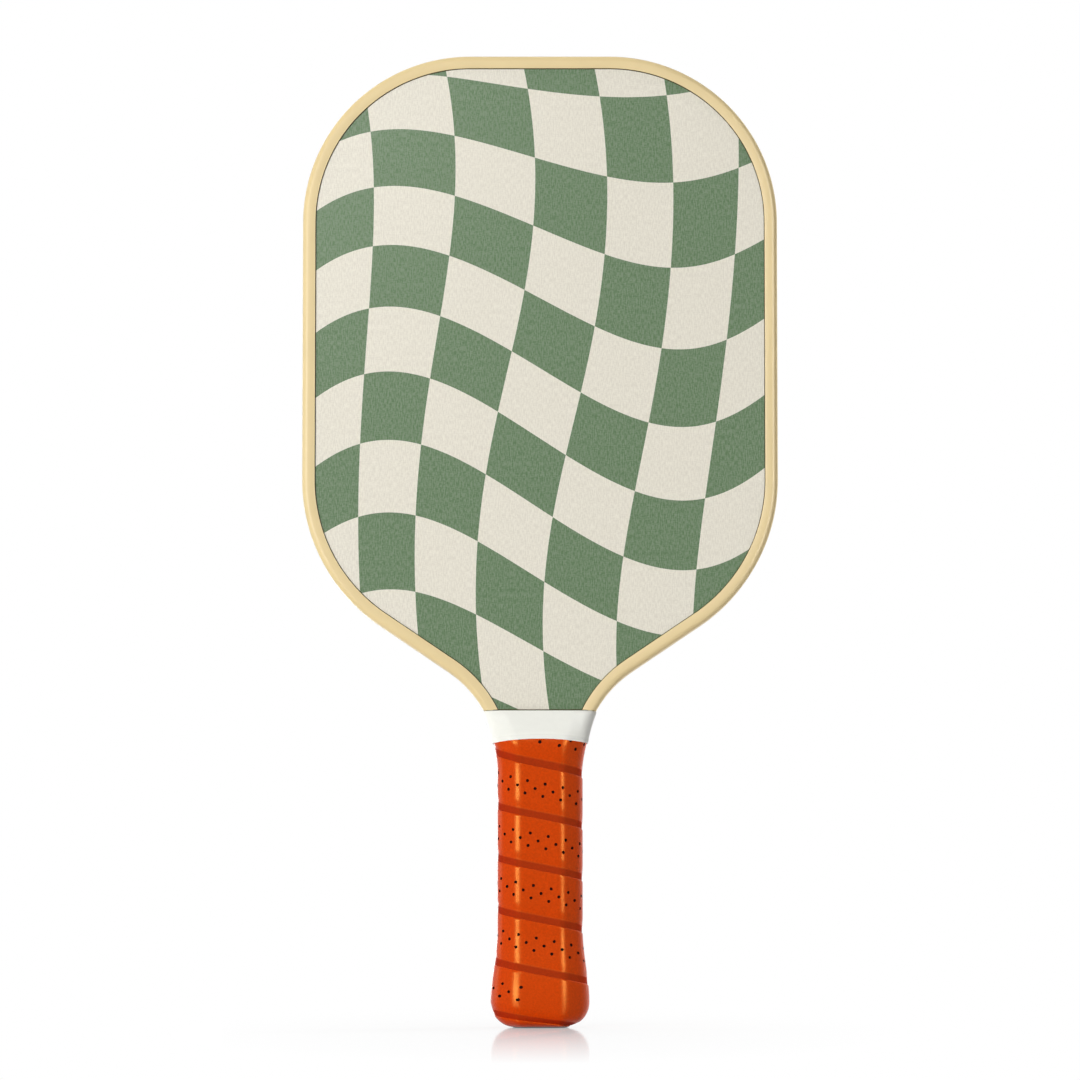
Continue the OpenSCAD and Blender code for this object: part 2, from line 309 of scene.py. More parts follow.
def on_handle(handle, head, girth, around, z, out, inset):
    """Point of the rounded handle, by its distance round from the front, its height and its distance out."""
    table, total = girth
    radius = max(out + inset, handle.least_round)
    corners = grown(bare_corners(handle, head, z), out - radius)
    place = (around + table[0][1] / 2) % total
    i = max(k for k in range(8) if table[k][0] <= place)
    start, flat, bend = table[i]
    normal = outward(corners[i - 1], corners[i])
    share = (place - start) / flat
    if share < 1:
        base = corners[i - 1].lerp(corners[i], share)
    else:
        base = corners[i]
        following = outward(corners[i], corners[(i + 1) % 8])
        turn = normal.angle(following) * (place - start - flat) / bend
        normal = Vector((normal.x * math.cos(turn) + normal.y * math.sin(turn),
                         normal.y * math.cos(turn) - normal.x * math.sin(turn)))
    point = base + normal * radius
    return Vector((point.x, point.y, z))


def ease(share):
    """Smooth step from 0 to 1."""
    share = min(max(share, 0), 1)
    return share * share * (3 - 2 * share)


def grip_side(handle, up):
    """Height, distance out and tilt of the grip's surface, at a distance up along its side."""
    if up < handle.knob_height:
        tilt = (handle.knob_height - up) / handle.knob_round
        return (handle.knob_height - handle.knob_round * math.sin(tilt),
                handle.knob_out - handle.knob_round * (1 - math.cos(tilt)), tilt)
    fall = ease((up - handle.knob_height) / (handle.flare_height - handle.knob_height))
    flare_run = 0.012
    flare = handle.tape_flare * ease((up - COLLAR_LOW + flare_run) / flare_run)
    return up, handle.knob_out + (handle.tape_out - handle.knob_out) * fall + flare, 0


def squared(handle, point):
    """A point of the butt end, moved out at the front and back, where the end is less rounded."""
    least_height = 0.0004
    z = max(point.z, least_height)
    wide = max(0, 1 - z / handle.knob_height)
    tight = max(0, 1 - z / handle.butt_round)
    full = handle.depth + handle.knob_out
    depth = full - handle.knob_round * (1 - math.sqrt(1 - wide ** 2))
    new_depth = full - handle.butt_round * (1 - math.sqrt(1 - tight ** 2))
    return Vector((point.x, point.y * new_depth / depth, point.z))


def ring_grid(name, handle, head, inset, columns, rows):
    """A grid bent round the handle: each row is (height, distance out, share of that section)."""
    girth = girth_table(handle, head)
    clear_selection()
    bpy.ops.mesh.primitive_grid_add(x_subdivisions=columns, y_subdivisions=len(rows) - 1, size=1)
    piece = bpy.context.object
    piece.name = name
    for vertex in piece.data.vertices:
        around = (vertex.co.x + 0.5) * girth[1]
        z, out, share = rows[round((vertex.co.y + 0.5) * (len(rows) - 1))]
        point = on_handle(handle, head, girth, around, z, out, inset)
        vertex.co = squared(handle, Vector((point.x * share, point.y * share, z)))
    return piece


# Materials


def printed_sheet(head):
    """Glass-fibre sheet with a printed check: matt ink with hard edges over fine linen threads."""
    material, tree, place = start_material("printed_glass_fibre")
    head_middle = 0.2691
    centred = add(tree, "ShaderNodeMapping", {"Vector": place.outputs["Object"],
                                              "Location": (0, 0, -head_middle)})

    # The two directions of the check: start, slope over x and z, and waves of (height, slope, phase)
    directions = (
        (2.319, (28.7, 0, 3.9), ((-1.6, (0.4, 0, 10.4), 0.216), (-0.619, (21, 0, 11.2), 0.31),
                                 (1.6, (10, 0, 8), 0.422))),
        (4.056, (15.5, 0, -38.5), ((-1.6, (15.1, 0, -5.3), -0.193), (0.631, (-28.3, 0, -6.4), -0.313),
                                   (-0.09, (-46.1, 0, -1.3), -0.077))))
    stripes = []
    for start, slope, waves in directions:
        count = add(tree, "ShaderNodeVectorMath", {0: centred.outputs[0], 1: slope},
                    operation="DOT_PRODUCT")
        total = add(tree, "ShaderNodeMath", {0: count.outputs["Value"], 1: start}, operation="ADD")
        for height, wave_slope, phase in waves:
            run = add(tree, "ShaderNodeVectorMath", {0: centred.outputs[0], 1: wave_slope},
                      operation="DOT_PRODUCT")
            shifted = add(tree, "ShaderNodeMath", {0: run.outputs["Value"], 1: phase}, operation="ADD")
            wave = add(tree, "ShaderNodeMath", {0: shifted.outputs[0]}, operation="SINE")
            total = add(tree, "ShaderNodeMath", {0: wave.outputs[0], 1: height, 2: total.outputs[0]},
                        operation="MULTIPLY_ADD")
        turned = add(tree, "ShaderNodeMath", {0: total.outputs[0], 1: math.pi}, operation="MULTIPLY")
        stripes.append(add(tree, "ShaderNodeMath", {0: turned.outputs[0]}, operation="SINE"))
    check = add(tree, "ShaderNodeMath", {0: stripes[0].outputs[0], 1: stripes[1].outputs[0]},
                operation="MULTIPLY")
    is_sage = add(tree, "ShaderNodeMath", {0: check.outputs[0], 1: 0.0}, operation="LESS_THAN")

    # Linen threads 0.45 mm thick, with slubs about 2 mm long
    upright = add(tree, "ShaderNodeMapping", {"Vector": place.outputs["Object"],
                                              "Scale": (spaced(0.45), 1, spaced(2.2))})
    level = add(tree, "ShaderNodeMapping", {"Vector": place.outputs["Object"],
                                            "Scale": (spaced(1.4), 1, spaced(0.45))})
    warp = add(tree, "ShaderNodeTexNoise", {"Vector": upright.outputs[0], "Scale": 1.0, "Detail": 2.0})
    weft = add(tree, "ShaderNodeTexNoise", {"Vector": level.outputs[0], "Scale": 1.0, "Detail": 2.0})
    threads = add(tree, "ShaderNodeMix", {"Factor": 0.35, "A": warp.outputs["Fac"],
                                          "B": weft.outputs["Fac"]})
    fleck = add(tree, "ShaderNodeMapRange", {"Value": threads.outputs[0], "From Min": 0.4,
                                             "From Max": 0.6})
    green = add(tree, "ShaderNodeMix", {"Factor": fleck.outputs[0], "A": (*head.sage, 1),
                                        "B": (*head.pale_sage, 1)}, data_type="RGBA")
    white = add(tree, "ShaderNodeMix", {"Factor": fleck.outputs[0], "A": (*head.grey_white, 1),
                                        "B": (*head.white, 1)}, data_type="RGBA")
    tone = add(tree, "ShaderNodeMix", {"Factor": is_sage.outputs[0], "A": white.outputs["Result"],
                                       "B": green.outputs["Result"]}, data_type="RGBA")
    relief = add(tree, "ShaderNodeBump", {"Height": threads.outputs[0], "Strength": 0.3,
                                          "Distance": GRAIN_DEPTH})
    sheet = add(tree, "ShaderNodeBsdfPrincipled", {"Base Color": tone.outputs["Result"], "Roughness": 0.32,
                                                   "Specular IOR Level": 0.25,
                                                   "Normal": relief.outputs[0]})
    add(tree, "ShaderNodeOutputMaterial", {"Surface": sheet.outputs[0]})
    return material


def extruded_plastic(head):
    """Soft extruded plastic: satin, a little cloudy, with a faint skin of grain."""
    material, tree, place = start_material("extruded_soft_plastic")
    cloud = add(tree, "ShaderNodeTexNoise", {"Vector": place.outputs["Object"], "Scale": spaced(16),
                                             "Detail": 3.0})
    tint = add(tree, "ShaderNodeMapRange", {"Value": cloud.outputs["Fac"], "From Min": 0.3,
                                            "From Max": 0.7, "To Min": 0.975, "To Max": 1.02})
    tone = add(tree, "ShaderNodeVectorMath", {0: tuple(head.guard_cream), "Scale": tint.outputs[0]},
               operation="SCALE")
    grain = add(tree, "ShaderNodeTexNoise", {"Vector": place.outputs["Object"], "Scale": spaced(0.7)})
    relief = add(tree, "ShaderNodeBump", {"Height": grain.outputs["Fac"], "Strength": 0.08,
                                          "Distance": GRAIN_DEPTH})
    plastic = add(tree, "ShaderNodeBsdfPrincipled", {"Base Color": tone.outputs[0], "Roughness": 0.38,
                                                     "Specular IOR Level": 0.35,
                                                     "Normal": relief.outputs[0]})
    add(tree, "ShaderNodeOutputMaterial", {"Surface": plastic.outputs[0]})
    return material


def coated_leather(handle):
    """Polyurethane leather: saturated, semi-gloss, with a fine pebbled grain and dull pressed margins."""
    material, tree, place = start_material("polyurethane_leather")
    strip = add(tree, "ShaderNodeSeparateXYZ", {0: place.outputs["UV"]})
    # The dark of the pressed margin fades out from a little below its edge to a little above
    fade_below = 0.0002
    fade_above = 0.0006
    margin = add(tree, "ShaderNodeMapRange", {
        "Value": strip.outputs["Y"], "From Min": handle.tape_margin - fade_below,
        "From Max": handle.tape_margin + fade_above, "To Min": 1.0, "To Max": 0.0})
    grain = add(tree, "ShaderNodeTexNoise", {"Vector": place.outputs["Object"], "Scale": spaced(0.8),
                                             "Detail": 2.0})
    shade = add(tree, "ShaderNodeMapRange", {"Value": grain.outputs["Fac"], "From Min": 0.3,
                                             "From Max": 0.7, "To Min": 0.9, "To Max": 1.1})
    dye = add(tree, "ShaderNodeMix", {"Factor": margin.outputs[0], "A": (*handle.orange, 1),
                                      "B": (*handle.dark_orange, 1)}, data_type="RGBA")
    tone = add(tree, "ShaderNodeVectorMath", {0: dye.outputs["Result"], "Scale": shade.outputs[0]},
               operation="SCALE")
    pebbles = add(tree, "ShaderNodeTexVoronoi", {"Vector": place.outputs["Object"], "Scale": spaced(0.45)},
                  feature="SMOOTH_F1")
    relief = add(tree, "ShaderNodeBump", {"Height": pebbles.outputs["Distance"], "Strength": 0.06,
                                          "Distance": GRAIN_DEPTH})
    dull = add(tree, "ShaderNodeMapRange", {"Value": margin.outputs[0], "To Min": 0.26, "To Max": 0.75})
    leather = add(tree, "ShaderNodeBsdfPrincipled", {"Base Color": tone.outputs[0],
                                                     "Roughness": dull.outputs[0],
                                                     "Specular IOR Level": 0.45,
                                                     "Specular Tint": (1, 0.55, 0.12, 1),
                                                     "Normal": relief.outputs[0]})
    add(tree, "ShaderNodeOutputMaterial", {"Surface": leather.outputs[0]})
    return material


def plain_stuff(name, code, roughness, spacing, spread, depth, shine=0.5, chalk=0.0):
    """A stuff of one colour, with a grain of a spacing in millimetres.

    The grain shades it by a spread and stands up by a depth, shine is the strength of its highlights, and
    chalk is how powdery it looks.
    """
    material, tree, place = start_material(name)
    grain = add(tree, "ShaderNodeTexNoise", {"Vector": place.outputs["Object"], "Scale": spaced(spacing),
                                             "Detail": 3.0})
    tint = add(tree, "ShaderNodeMapRange", {"Value": grain.outputs["Fac"], "From Min": 0.3,
                                            "From Max": 0.7, "To Min": 1 - spread, "To Max": 1 + spread})
    tone = add(tree, "ShaderNodeVectorMath", {0: tuple(code), "Scale": tint.outputs[0]}, operation="SCALE")
    relief = add(tree, "ShaderNodeBump", {"Height": grain.outputs["Fac"], "Strength": depth,
                                          "Distance": GRAIN_DEPTH})
    stuff = add(tree, "ShaderNodeBsdfPrincipled", {"Base Color": tone.outputs[0], "Roughness": roughness,
                                                   "Specular IOR Level": shine,
                                                   "Diffuse Roughness": chalk,
                                                   "Normal": relief.outputs[0]})
    add(tree, "ShaderNodeOutputMaterial", {"Surface": stuff.outputs[0]})
    return material


def adhesive():
    """Painted shade: a thin dark brown satin line where a lip meets a face, standing in for the shadow in
    that joint.
    """
    return plain_stuff("contact_adhesive", linear("#43371B"), 0.6, 2, 0.1, 0.1, 0.2)


# Pieces


class PADDLE_OT_faces(bpy.types.Operator):
    """Print the wavy check on both face sheets"""

    bl_idname = "paddle.faces"
    bl_label = "Printed faces"

    def execute(self, context):
        dress(("front_face", "rear_face"), printed_sheet(context.scene.paddle_head))
        return {"FINISHED"}


class PADDLE_OT_inside(bpy.types.Operator):
    """Give the layers inside the paddle their materials"""

    bl_idname = "paddle.inside"
    bl_label = "Layers inside"

    def execute(self, context):
        # Welded polypropylene cells: pale, milky and waxy
        dress(("honeycomb_core",),
              plain_stuff("welded_polypropylene", linear("#E9EAE6"), 0.45, 4, 0.03, 0.1))
        # Cured adhesive film: amber and shiny, with flow marks
        dress(("front_bond_film", "rear_bond_film"),
              plain_stuff("cured_epoxy_film", linear("#D8CFA8"), 0.2, 6, 0.06, 0.1))
        # Rigid foam: dry and dusty, with cells of half a millimetre
        dress(("front_handle_pallet", "rear_handle_pallet"),
              plain_stuff("rigid_polyurethane_foam", linear("#C9B48A"), 0.85, 0.6, 0.08, 0.5))
        # Cloth tape: dull, with threads of half a millimetre
        dress(("finishing_tape",),
              plain_stuff("cloth_tape", linear("#E4DCC4"), 0.8, 0.5, 0.06, 0.4))
        return {"FINISHED"}


class PADDLE_OT_edge_guard(bpy.types.Operator):
    """Sweep the U-channel of the guard round half of the head and mirror it"""

    bl_idname = "paddle.edge_guard"
    bl_label = "Edge guard"

    def execute(self, context):
        head = context.scene.paddle_head
        low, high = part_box("edge_guard")
        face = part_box("rear_face")[1].y
        turn = math.pi / 2 - head.shoulder_slope
        neck = Vector((head.neck_half + head.neck_radius, 0, head.neck_height))
        shoulder_x = head.width / 2 - head.shoulder_radius
        reach = head.shoulder_radius + head.neck_radius - (neck.x - shoulder_x) * math.cos(turn)
        shoulder = Vector((shoulder_x, 0, neck.z + reach / math.sin(turn)))
        corner = Vector((head.width / 2 - head.corner_radius, 0, high.z - head.corner_radius))

        # The section of the channel lies level at the neck, with its outside towards the neck's centre
        outside = head.neck_half
        inside = outside - head.guard_wall
        tip = outside - head.guard_lip
        clear_selection()
        bpy.ops.mesh.primitive_plane_add(size=1)
        guard = context.object
        guard.name = "edge_guard_strip"
        bpy.ops.object.mode_set(mode="EDIT")
        bpy.ops.transform.resize(value=(head.guard_lip, 2 * high.y, 1), center_override=(0, 0, 0))
        bpy.ops.transform.translate(value=((outside + tip) / 2, 0, neck.z))
        cut((inside, 0, 0), (1, 0, 0))
        cut((0, face, 0), (0, 1, 0))
        cut((0, -face, 0), (0, 1, 0))
        pick("FACE", lambda f: f.calc_center_median().x < inside and abs(f.calc_center_median().y) < face)
        bpy.ops.mesh.delete(type="FACE")
        bpy.ops.mesh.select_all(action="SELECT")
        bpy.ops.mesh.dissolve_limited(angle_limit=math.radians(1))
        rim = high.y - NEAR
        pick("VERT", lambda v: v.co.x > outside - NEAR and abs(v.co.y) > rim)
        bpy.ops.mesh.bevel(affect="VERTICES", offset=head.guard_round, segments=8, profile=0.5)
        pick("VERT", lambda v: v.co.x < tip + NEAR and abs(v.co.y) > rim)
        bpy.ops.transform.resize(value=(1, (face + head.guard_tip) / high.y, 1), center_override=(0, 0, 0))
        bpy.ops.mesh.bevel(affect="VERTICES", offset=head.guard_tip_round, segments=4, profile=0.5)
        bpy.ops.mesh.select_all(action="SELECT")
        bpy.ops.mesh.delete(type="ONLY_FACE")

        # Up the neck, out to the shoulder, up the side, round the corner and along the top to the middle
        bpy.ops.mesh.select_all(action="SELECT")
        bpy.ops.mesh.spin(steps=24, angle=-turn, center=neck, axis=(0, 1, 0))
        run = (shoulder - neck).dot(Vector((math.sin(turn), 0, math.cos(turn))))
        bpy.ops.mesh.extrude_region_move(
            TRANSFORM_OT_translate={"value": (run * math.sin(turn), 0, run * math.cos(turn))})
        bpy.ops.mesh.spin(steps=32, angle=turn, center=shoulder, axis=(0, 1, 0))
        bpy.ops.mesh.extrude_region_move(TRANSFORM_OT_translate={"value": (0, 0, corner.z - shoulder.z)})
        bpy.ops.mesh.spin(steps=48, angle=math.pi / 2, center=corner, axis=(0, 1, 0))
        bpy.ops.mesh.extrude_region_move(TRANSFORM_OT_translate={"value": (-corner.x, 0, 0)})
        cut((0, 0, low.z), (0, 0, 1), use_fill=True, clear_inner=True)
        bpy.ops.object.mode_set(mode="OBJECT")
        apply_modifier(guard, "MIRROR", use_clip=True, merge_threshold=NEAR)
        bpy.ops.object.mode_set(mode="EDIT")
        close_up(35)

        # The tips of the lips, which face the middle of the head, carry a dark line of painted shade where
        # they meet the faces
        middle = (low + high) / 2
        for side in guard.data.polygons:
            away = side.center - middle
            inwards = side.normal.x * away.x + side.normal.z * away.z < 0
            rise = abs(side.center.y) - face
            side.material_index = int(inwards and NEAR < rise < head.guard_tip - NEAR)
        hand_over(guard, "edge_guard", "guard", extruded_plastic(head), adhesive())
        return {"FINISHED"}


class PADDLE_OT_grip_tape(bpy.types.Operator):
    """Punch a short length of tape, repeat it, cut its ends level and wind it round the handle"""

    bl_idname = "paddle.grip_tape"
    bl_label = "Grip tape"

    def execute(self, context):
        head = context.scene.paddle_head
        handle = context.scene.paddle_handle
        girth = girth_table(handle, head)
        lean = math.atan(handle.tape_pitch / girth[1])
        slab = 0.001
        pit = 0.0007
        columns = 8
        lines = 18
        # Distances of the lines that round off the upper edge
        edge_cuts = (0.0007, 0.0003, 0.0001)
        period = handle.hole_period
        width = handle.tape_width + handle.tape_tuck

        # One period of the flat tape, as a slab with open ends
        clear_selection()
        bpy.ops.mesh.primitive_grid_add(x_subdivisions=columns, y_subdivisions=lines, size=1, calc_uvs=False)
        tape = context.object
        tape.name = "grip_tape_strip"
        tape.data.materials.append(coated_leather(handle))
        # Inside of the punched holes: dark brown as painted shade in them, felted and dull
        tape.data.materials.append(
            plain_stuff("leather_backing", handle.hole_brown, 0.9, 0.5, 0.1, 0.3, 0.1))
        bpy.ops.object.mode_set(mode="EDIT")
        bpy.ops.transform.resize(value=(period, width, 1), center_override=(0, 0, 0))
        bpy.ops.transform.translate(value=(period / 2, width / 2 - handle.tape_tuck, 0))
        for across in (0, handle.tape_margin, *(handle.tape_width - c for c in edge_cuts)):
            cut((0, across, 0), (0, 1, 0))
        bpy.ops.mesh.select_all(action="SELECT")
        bpy.ops.mesh.extrude_region_move(TRANSFORM_OT_translate={"value": (0, 0, -slab)})
        pick("FACE", lambda f: abs(f.normal.x) > 0.9)
        bpy.ops.mesh.delete(type="FACE")

        # The start of the tape stays plain
        bpy.ops.object.mode_set(mode="OBJECT")
        bpy.ops.object.duplicate()
        plain = context.object
        plain.name = "grip_tape_start"
        clear_selection()
        context.view_layer.objects.active = tape
        tape.select_set(True)
        bpy.ops.object.mode_set(mode="EDIT")

        # Three rows of holes in the middle, the middle row between the others
        rows = [width * k / lines - handle.tape_tuck for k in (9, 11, 13)]
        holes = [Vector((period / 4, rows[0], 0)), Vector((period * 3 / 4, rows[1], 0)),
                 Vector((period / 4, rows[2], 0))]
        pick("VERT", lambda v: any((v.co - h).length < NEAR for h in holes))
        bpy.ops.mesh.bevel(affect="VERTICES", offset=handle.hole_radius, segments=2, profile=0.086)
        pick("FACE", lambda f: any((f.calc_center_median() - h).length < handle.hole_radius for h in holes))
        bpy.ops.mesh.inset(thickness=handle.hole_radius * 0.06, depth=0)
        bpy.ops.mesh.extrude_region_move(TRANSFORM_OT_translate={"value": (0, 0, -pit)})
        # The walls and floors of the holes take the dark brown of painted shade
        pick("FACE", lambda f: -slab + NEAR < f.calc_center_median().z < -NEAR and
             any((f.calc_center_median().xy - h.xy).length < handle.hole_radius for h in holes))
        tape.active_material_index = 1
        bpy.ops.object.material_slot_assign()
        bpy.ops.object.mode_set(mode="OBJECT")

        # The whole strip, with its ends cut to lie level at the butt and under the collar
        under_collar = 0.003
        first_seam = 0.0019
        lowest = handle.knob_height - handle.knob_round * math.radians(85)
        highest = COLLAR_LOW + under_collar
        offset = first_seam - handle.tape_margin / 2 / math.cos(lean) - handle.tape_pitch
        first = (lowest - offset - handle.tape_width * math.cos(lean)) / math.sin(lean)
        first = math.floor(first / period) * period
        last = (highest - offset + handle.tape_tuck) / math.sin(lean)
        plain_count = round((handle.plain_start - first) / period)
        punched_count = math.ceil((last - first) / period) - plain_count
        for piece, start, count in ((plain, 0, plain_count), (tape, plain_count, punched_count)):
            clear_selection()
            context.view_layer.objects.active = piece
            piece.select_set(True)
            apply_modifier(piece, "ARRAY", use_relative_offset=False, use_constant_offset=True,
                           constant_offset_displace=(period, 0, 0), count=count,
                           use_merge_vertices=True, merge_threshold=NEAR)
            bpy.ops.object.mode_set(mode="EDIT")
            bpy.ops.mesh.select_all(action="SELECT")
            bpy.ops.transform.translate(value=(first + start * period, 0, 0))
            bpy.ops.object.mode_set(mode="OBJECT")
        plain.select_set(True)
        bpy.ops.object.join()
        bpy.ops.object.mode_set(mode="EDIT")
        bpy.ops.mesh.select_all(action="SELECT")
        bpy.ops.mesh.remove_doubles(threshold=NEAR)
        climb = Vector((math.sin(lean), math.cos(lean), 0))
        cut(climb * (lowest - offset), climb, use_fill=True, clear_inner=True)
        cut(climb * (highest - offset), climb, use_fill=True, clear_outer=True)
        bpy.ops.mesh.select_all(action="SELECT")
        bpy.ops.mesh.normals_make_consistent(inside=False)
        bpy.ops.mesh.quads_convert_to_tris()
        # The cut ends are long and thin, so their triangles are made short before they are bent
        pick("FACE", lambda f: abs(f.normal.dot(climb)) > 0.999)
        bpy.ops.mesh.beautify_fill(angle_limit=math.pi)
        bpy.ops.object.mode_set(mode="OBJECT")

        # The strip keeps its flat places as UV, then each point goes to its place on the handle
        turn_length = girth[1] / math.cos(lean)
        # The last turn drifts upwards, from this far before its end and over this length
        drift_reach = 0.066
        drift_run = 0.04
        drift_start = (highest - offset) / math.sin(lean) - drift_reach
        # The upper edge rounds off, and thins from below
        edge_run = 0.0008
        edge_drop = 0.00025
        thin_run = 0.002
        thin_lift = 0.0004
        strip = tape.data.uv_layers.new(name="strip")
        for loop in tape.data.loops:
            strip.data[loop.index].uv = tape.data.vertices[loop.vertex_index].co.xy
        for vertex in tape.data.vertices:
            along, across, down = vertex.co
            rise = -handle.tape_step * (1 - ease((across - handle.tape_margin) / handle.tape_slope))
            edge = max(0, across - handle.tape_width + edge_run) / edge_run
            rise -= edge_drop * edge ** 3
            if down < -slab + NEAR:
                rise = -slab + thin_lift * ease((across - handle.tape_width + thin_run) / thin_run)
            else:
                rise += down
            around = along * math.cos(lean) - across * math.sin(lean)
            up = along * math.sin(lean) + across * math.cos(lean) + offset
            drift = ease((along - drift_start) / drift_run)
            drift += ease((along + turn_length - drift_start) / drift_run) * across / handle.tape_width
            z, out, tilt = grip_side(handle, min(up + handle.tape_drift * drift, max(up, highest)))
            vertex.co = on_handle(handle, head, girth, around, z, out + rise * math.cos(tilt),
                                  handle.edge_inset)
            vertex.co.z -= rise * math.sin(tilt)
            vertex.co = squared(handle, vertex.co)
        bpy.ops.object.shade_smooth_by_angle(angle=math.radians(40))
        hand_over(tape, "grip_tape", "grip")
        return {"FINISHED"}


class PADDLE_OT_grip_collar(bpy.types.Operator):
    """Bend a band round the top of the grip, with a lip that closes on the faces"""

    bl_idname = "paddle.grip_collar"
    bl_label = "Grip collar"

    def execute(self, context):
        head = context.scene.paddle_head
        handle = context.scene.paddle_handle
        low = COLLAR_LOW
        high = COLLAR_HIGH
        gap = 0.0001
        lap = handle.tape_out + handle.tape_flare + gap
        # Height and distance out from the bare handle, up the bead and wall to the lip, then down inside
        outside = [(low, 0.0026), (low + 0.0002, 0.0028), (low + 0.0006, 0.0029), (low + 0.0016, 0.0029),
                   (low + 0.0019, 0.0028), (low + 0.0021, 0.00272), (low + 0.0023, 0.00274),
                   (low + 0.004, 0.0027), (low + 0.007, 0.0025), (low + 0.010, 0.0023),
                   (high - 0.0012, 0.0022), (high - 0.0005, 0.002), (high - 0.0001, 0.0016), (high, 0.001),
                   (high + 0.0003, 0.0004), (high + 0.0006, -0.0015)]
        inside = [(high - 0.0008, -0.0015), (high - 0.0008, 0.0001), (low + 0.004, 0.0001),
                  (low + 0.004, lap), (low, lap), outside[0]]
        collar = ring_grid("grip_collar_band", handle, head, handle.collar_inset, 256,
                           [(z, out, 1) for z, out in outside + inside])
        half = handle.half_width + handle.tape_out
        for vertex in collar.data.vertices:
            down = (high - vertex.co.z) / (high - low)
            vertex.co.z += down * (handle.collar_arch - handle.collar_dip * (vertex.co.x / half) ** 2)
        bpy.ops.object.mode_set(mode="EDIT")
        close_up(40)
        # The top of the collar, where it meets the faces, carries the same dark line of painted shade
        for side in collar.data.polygons:
            side.material_index = int(side.center.z > high + NEAR)
        # Silicone rubber: white, smooth and softly shiny
        hand_over(collar, "grip_collar", "collar",
                  plain_stuff("silicone_rubber", handle.collar_white, 0.42, 2, 0.01, 0.03, 0.25, 1.0),
                  adhesive())
        return {"FINISHED"}


class PADDLE_OT_butt_cap(bpy.types.Operator):
    """Turn the end of the cap: a flat rim that the paddle stands on, round a dished middle"""

    bl_idname = "paddle.butt_cap"
    bl_label = "Butt cap"

    def execute(self, context):
        head = context.scene.paddle_head
        handle = context.scene.paddle_handle
        # From the top inside the tape, down the wall, over the rim and into the dish
        rows = [(0.008, -0.004, 0.5), (0.008, -0.001, 1), (0.003, -0.0012, 1), (0.0012, -0.003, 1),
                (0.0004, -0.0042, 1), (0.0001, -0.005, 1), (0, -0.0056, 1), (0, -0.0056, 0.86),
                (0.0001, -0.0056, 0.84), (0.0005, -0.0056, 0.81), (0.0006, -0.0056, 0.78),
                (0.0006, -0.0056, 0.3)]
        cap = ring_grid("butt_cap_end", handle, head, handle.edge_inset, 192, rows)
        bpy.ops.object.mode_set(mode="EDIT")
        bpy.ops.mesh.select_all(action="SELECT")
        bpy.ops.mesh.remove_doubles(threshold=2e-6)
        bpy.ops.mesh.fill_holes(sides=0)
        close_up(35)
        # Moulded polypropylene: black, with a fine spark-eroded texture
        hand_over(cap, "butt_cap", "cap",
                  plain_stuff("moulded_polypropylene", handle.cap_black, 0.6, 0.6, 0.12, 0.3))
        return {"FINISHED"}


